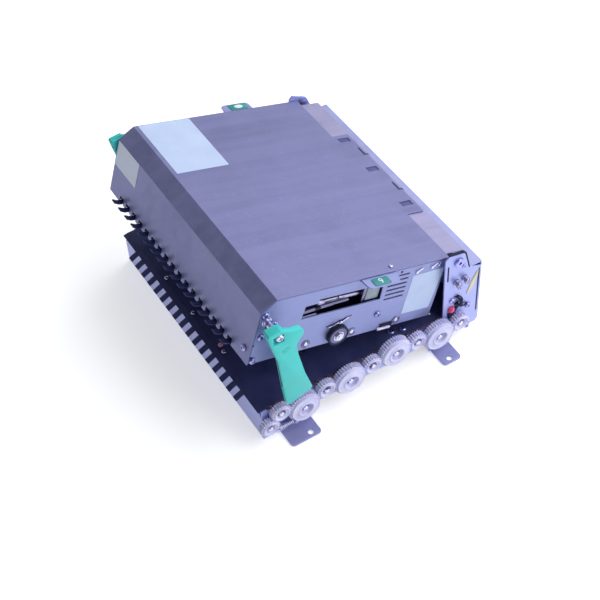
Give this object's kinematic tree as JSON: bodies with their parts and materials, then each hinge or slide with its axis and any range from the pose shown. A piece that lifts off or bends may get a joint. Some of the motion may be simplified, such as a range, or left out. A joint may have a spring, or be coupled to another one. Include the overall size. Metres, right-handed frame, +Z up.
{
  "type": "bank-note transport module",
  "caption": "Hinged bank-note transport for a cash machine: geared roller base under a sheet-metal upper unit with comb edges and a green latch handle.",
  "frame": {"origin": "on the floor pan's underside, midway between the side plates, in the plane that the feet stand on", "axes": "+Z up, +X along the gear row towards the hinge, -Y is the gear and latch side"},
  "size_m": [0.2437, 0.302, 0.1602],
  "materials": {
    "steel_sheet": "satin rolled sheet",
    "bright_plate": "satin plated sheet",
    "black_guide": "black low-friction coating",
    "white_gear": "moulded natural white",
    "bright_steel": "turned, bright",
    "roller_rubber": "black rubber",
    "green_plastic": "moulded green",
    "foot_steel": "dull zinc plated",
    "red_lens": "clear red"
  },
  "bodies": {
    "base": {"base_front_plate": "bright_plate", "base_back_plate": "bright_plate", "base_left_wall": "bright_plate", "base_right_wall": "bright_plate", "base_right_cover": "steel_sheet", "base_floor_pan": "steel_sheet", "lower_guide_plate": "black_guide", "tie_rod_1": "bright_steel", "tie_rod_2": "bright_steel", "foot_front_left": "foot_steel", "foot_front_right": "foot_steel", "foot_rear_left": "foot_steel", "foot_rear_right": "foot_steel", "hinge_pin_front": "bright_steel", "hinge_pin_rear": "bright_steel", "idler_spring": "bright_steel", "spring_post_1": "bright_steel", "spring_post_2": "bright_steel", "sensor_lens": "red_lens", "idler_stud_1": "bright_steel", "idler_stud_2": "bright_steel", "idler_stud_3": "bright_steel", "idler_stud_4": "bright_steel", "end_gear_stud": "bright_steel"},
    "drive_1": {"drive_gear_1": "white_gear", "drive_shaft_1": "bright_steel", "feed_rollers_1": "roller_rubber"},
    "drive_2": {"drive_gear_2": "white_gear", "drive_shaft_2": "bright_steel", "feed_rollers_2": "roller_rubber"},
    "drive_3": {"drive_gear_3": "white_gear", "drive_shaft_3": "bright_steel", "feed_rollers_3": "roller_rubber"},
    "drive_4": {"drive_gear_4": "white_gear", "drive_shaft_4": "bright_steel", "feed_rollers_4": "roller_rubber"},
    "drive_5": {"drive_gear_5": "white_gear", "drive_shaft_5": "bright_steel", "feed_rollers_5": "roller_rubber"},
    "idler_1": {"idler_gear_1": "white_gear"},
    "idler_2": {"idler_gear_2": "white_gear"},
    "idler_3": {"idler_gear_3": "white_gear"},
    "idler_4": {"idler_gear_4": "white_gear"},
    "end_wheel": {"end_gear": "white_gear"},
    "upper": {"upper_cover": "steel_sheet", "upper_front_plate": "bright_plate", "upper_back_plate": "bright_plate", "upper_guide_plate": "black_guide", "hinge_plate": "bright_plate", "grip_plate": "bright_plate", "wheel_stud": "bright_steel", "link_rod": "bright_steel", "rod_carrier": "black_guide"},
    "pinch_1": {"pinch_roller_1": "roller_rubber"},
    "pinch_2": {"pinch_roller_2": "roller_rubber"},
    "pinch_3": {"pinch_roller_3": "roller_rubber"},
    "wheel": {"guide_wheel": "roller_rubber"},
    "latch": {"latch_shaft": "bright_steel", "latch_handle_front": "green_plastic", "latch_handle_rear": "green_plastic"}
  },
  "joints": [
    {"name": "drive_1_spin", "type": "hinge", "parent": "base", "child": "drive_1", "pos_m": [-0.0966, 0, 0.0343], "axis": [0, 1, 0], "continuous": true},
    {"name": "drive_2_spin", "type": "hinge", "parent": "base", "child": "drive_2", "pos_m": [-0.05087, 0, 0.0343], "axis": [0, 1, 0], "continuous": true},
    {"name": "drive_3_spin", "type": "hinge", "parent": "base", "child": "drive_3", "pos_m": [-0.0032, 0, 0.0343], "axis": [0, 1, 0], "continuous": true},
    {"name": "drive_4_spin", "type": "hinge", "parent": "base", "child": "drive_4", "pos_m": [0.0446, 0, 0.0343], "axis": [0, 1, 0], "continuous": true},
    {"name": "drive_5_spin", "type": "hinge", "parent": "base", "child": "drive_5", "pos_m": [0.09162, 0, 0.0305], "axis": [0, 1, 0], "continuous": true},
    {"name": "idler_1_spin", "type": "hinge", "parent": "base", "child": "idler_1", "pos_m": [-0.07374, -0.135, 0.027], "axis": [0, 1, 0], "continuous": true},
    {"name": "idler_2_spin", "type": "hinge", "parent": "base", "child": "idler_2", "pos_m": [-0.02704, -0.135, 0.0315], "axis": [0, 1, 0], "continuous": true},
    {"name": "idler_3_spin", "type": "hinge", "parent": "base", "child": "idler_3", "pos_m": [0.0207, -0.135, 0.0365], "axis": [0, 1, 0], "continuous": true},
    {"name": "idler_4_spin", "type": "hinge", "parent": "base", "child": "idler_4", "pos_m": [0.06775, -0.135, 0.028], "axis": [0, 1, 0], "continuous": true},
    {"name": "end_wheel_spin", "type": "hinge", "parent": "base", "child": "end_wheel", "pos_m": [-0.10838, -0.135, 0.02122], "axis": [0, 1, 0], "continuous": true},
    {"name": "upper_hinge", "type": "hinge", "parent": "base", "child": "upper", "pos_m": [0.091, 0, 0.104], "axis": [0, 1, 0], "range_deg": [-17, 53]},
    {"name": "pinch_1_spin", "type": "hinge", "parent": "upper", "child": "pinch_1", "pos_m": [-0.06166, 0.002, 0.08992], "axis": [0, 1, 0], "continuous": true},
    {"name": "pinch_2_spin", "type": "hinge", "parent": "upper", "child": "pinch_2", "pos_m": [-0.01607, 0.002, 0.07598], "axis": [0, 1, 0], "continuous": true},
    {"name": "pinch_3_spin", "type": "hinge", "parent": "upper", "child": "pinch_3", "pos_m": [0.02964, 0.002, 0.06201], "axis": [0, 1, 0], "continuous": true},
    {"name": "wheel_spin", "type": "hinge", "parent": "upper", "child": "wheel", "pos_m": [-0.03173, -0.1259, 0.08495], "axis": [0, 1, 0], "continuous": true},
    {"name": "latch_turn", "type": "hinge", "parent": "upper", "child": "latch", "pos_m": [-0.09648, 0.002, 0.1427], "axis": [0, 1, 0], "range_deg": [-25, 0], "stiffness_Nm_per_rad": 0.06, "springref_deg": 6.88}
  ],
  "couplings": [
    {"joint": "drive_2_spin", "follows": "drive_1_spin", "ratio": 1},
    {"joint": "drive_3_spin", "follows": "drive_1_spin", "ratio": 1},
    {"joint": "drive_4_spin", "follows": "drive_1_spin", "ratio": 1},
    {"joint": "drive_5_spin", "follows": "drive_1_spin", "ratio": 1},
    {"joint": "idler_1_spin", "follows": "drive_1_spin", "ratio": -0.57895},
    {"joint": "idler_2_spin", "follows": "drive_1_spin", "ratio": -0.57895},
    {"joint": "idler_3_spin", "follows": "drive_1_spin", "ratio": -0.57895},
    {"joint": "idler_4_spin", "follows": "drive_1_spin", "ratio": -0.57895},
    {"joint": "end_wheel_spin", "follows": "drive_1_spin", "ratio": -1}
  ]
}
